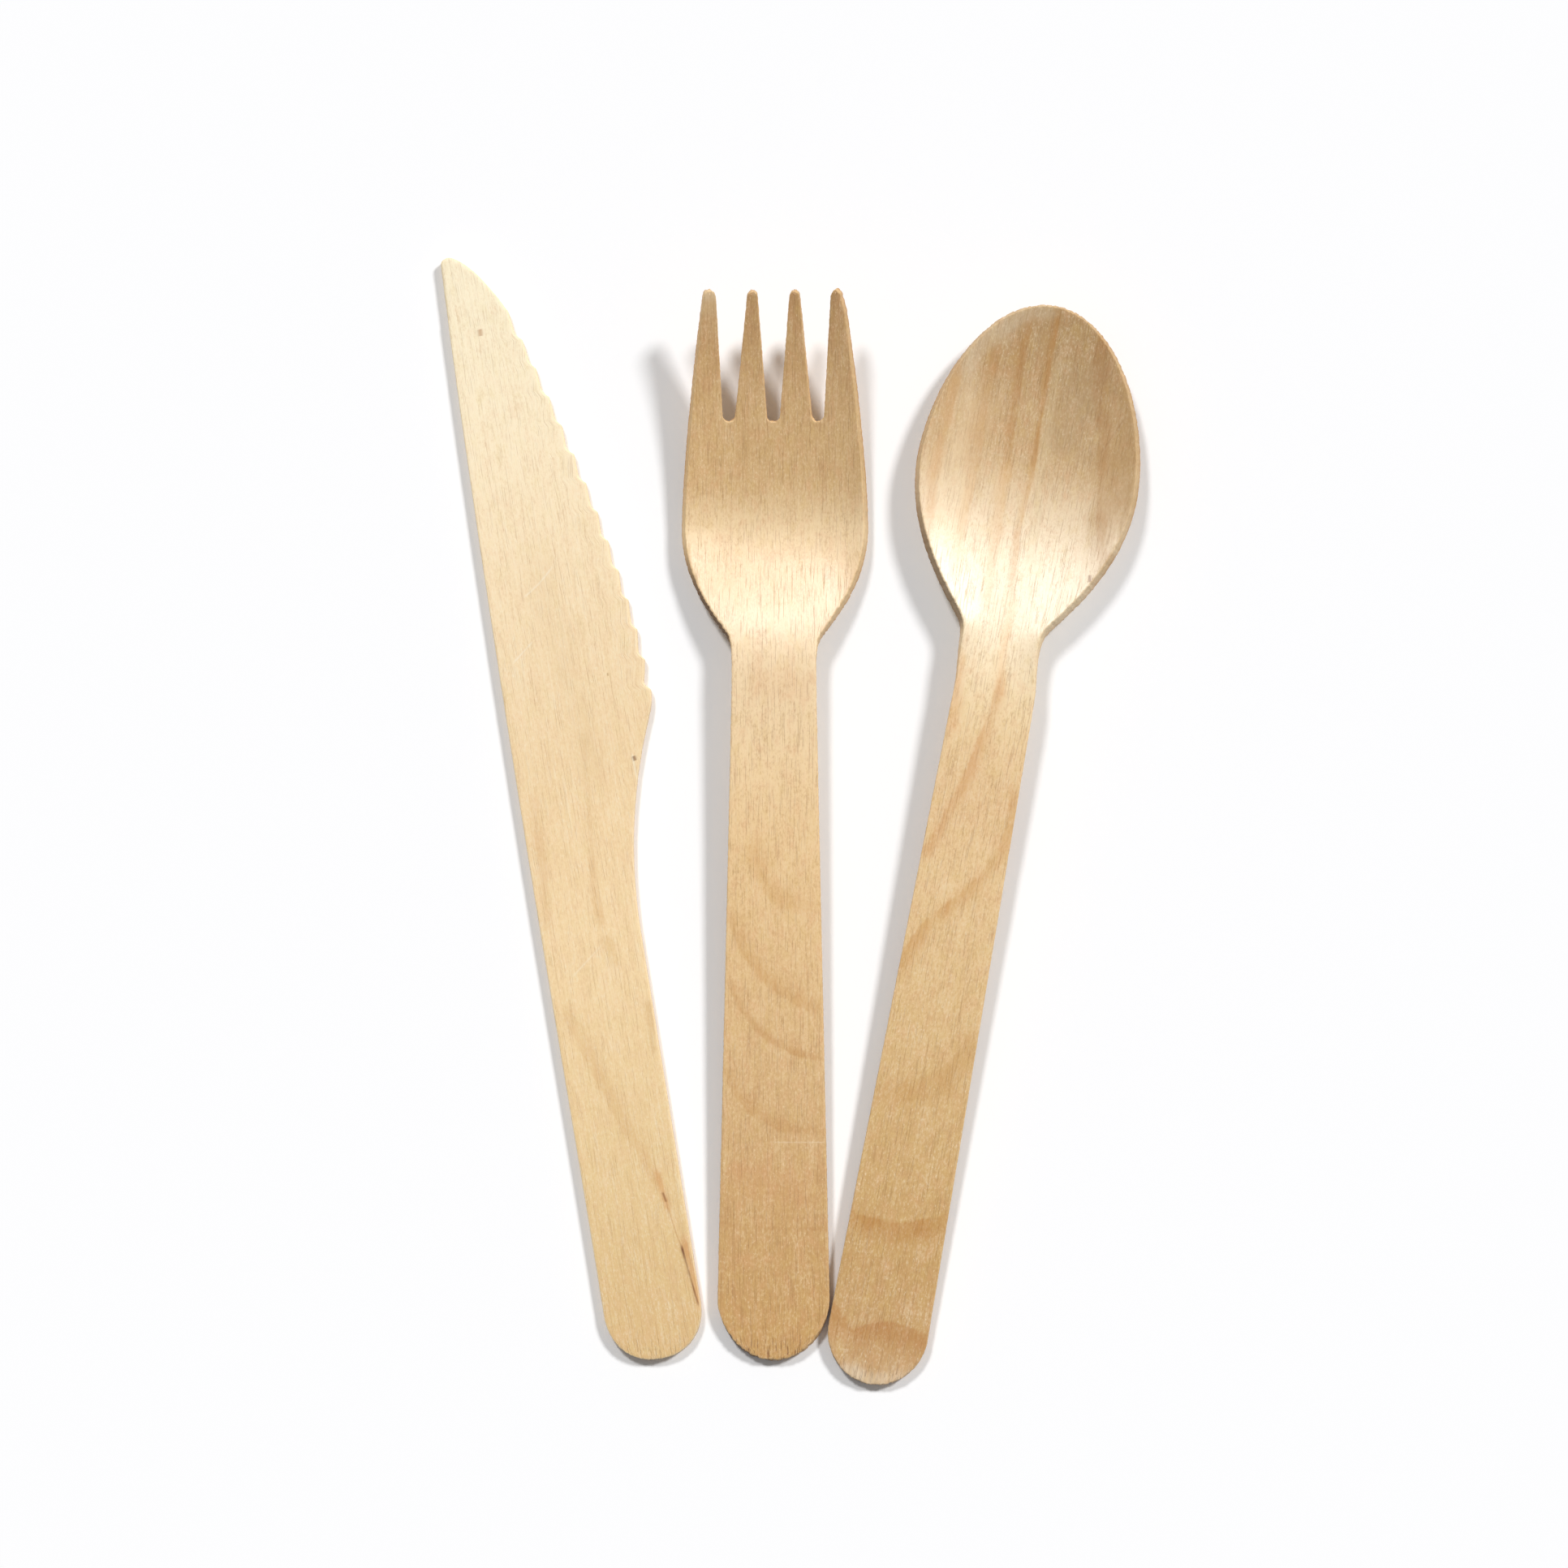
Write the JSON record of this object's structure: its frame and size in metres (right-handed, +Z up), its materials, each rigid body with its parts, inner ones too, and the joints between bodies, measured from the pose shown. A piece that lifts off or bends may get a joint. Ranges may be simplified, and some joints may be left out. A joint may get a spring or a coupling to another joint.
{
  "type": "wooden cutlery set",
  "caption": "Disposable knife, fork and spoon pressed from wood veneer and laid side by side, with a toothed blade, a slotted fork head and a shallow bowl.",
  "frame": {"origin": "middle of the set's bounding box, on the surface the pieces lie on", "axes": "+Y from the handle ends to the tips, +X from the knife to the spoon, +Z up"},
  "size_m": [0.103, 0.1656, 0.011],
  "materials": {
    "knife_veneer": "bare sanded birch veneer, matt",
    "fork_veneer": "bare sanded birch veneer, matt with a slight sheen",
    "spoon_veneer": "bare sanded birch veneer, matt with a slight sheen"
  },
  "bodies": {
    "root": {"knife": "knife_veneer", "fork": "fork_veneer", "spoon": "spoon_veneer"}
  },
  "joints": []
}
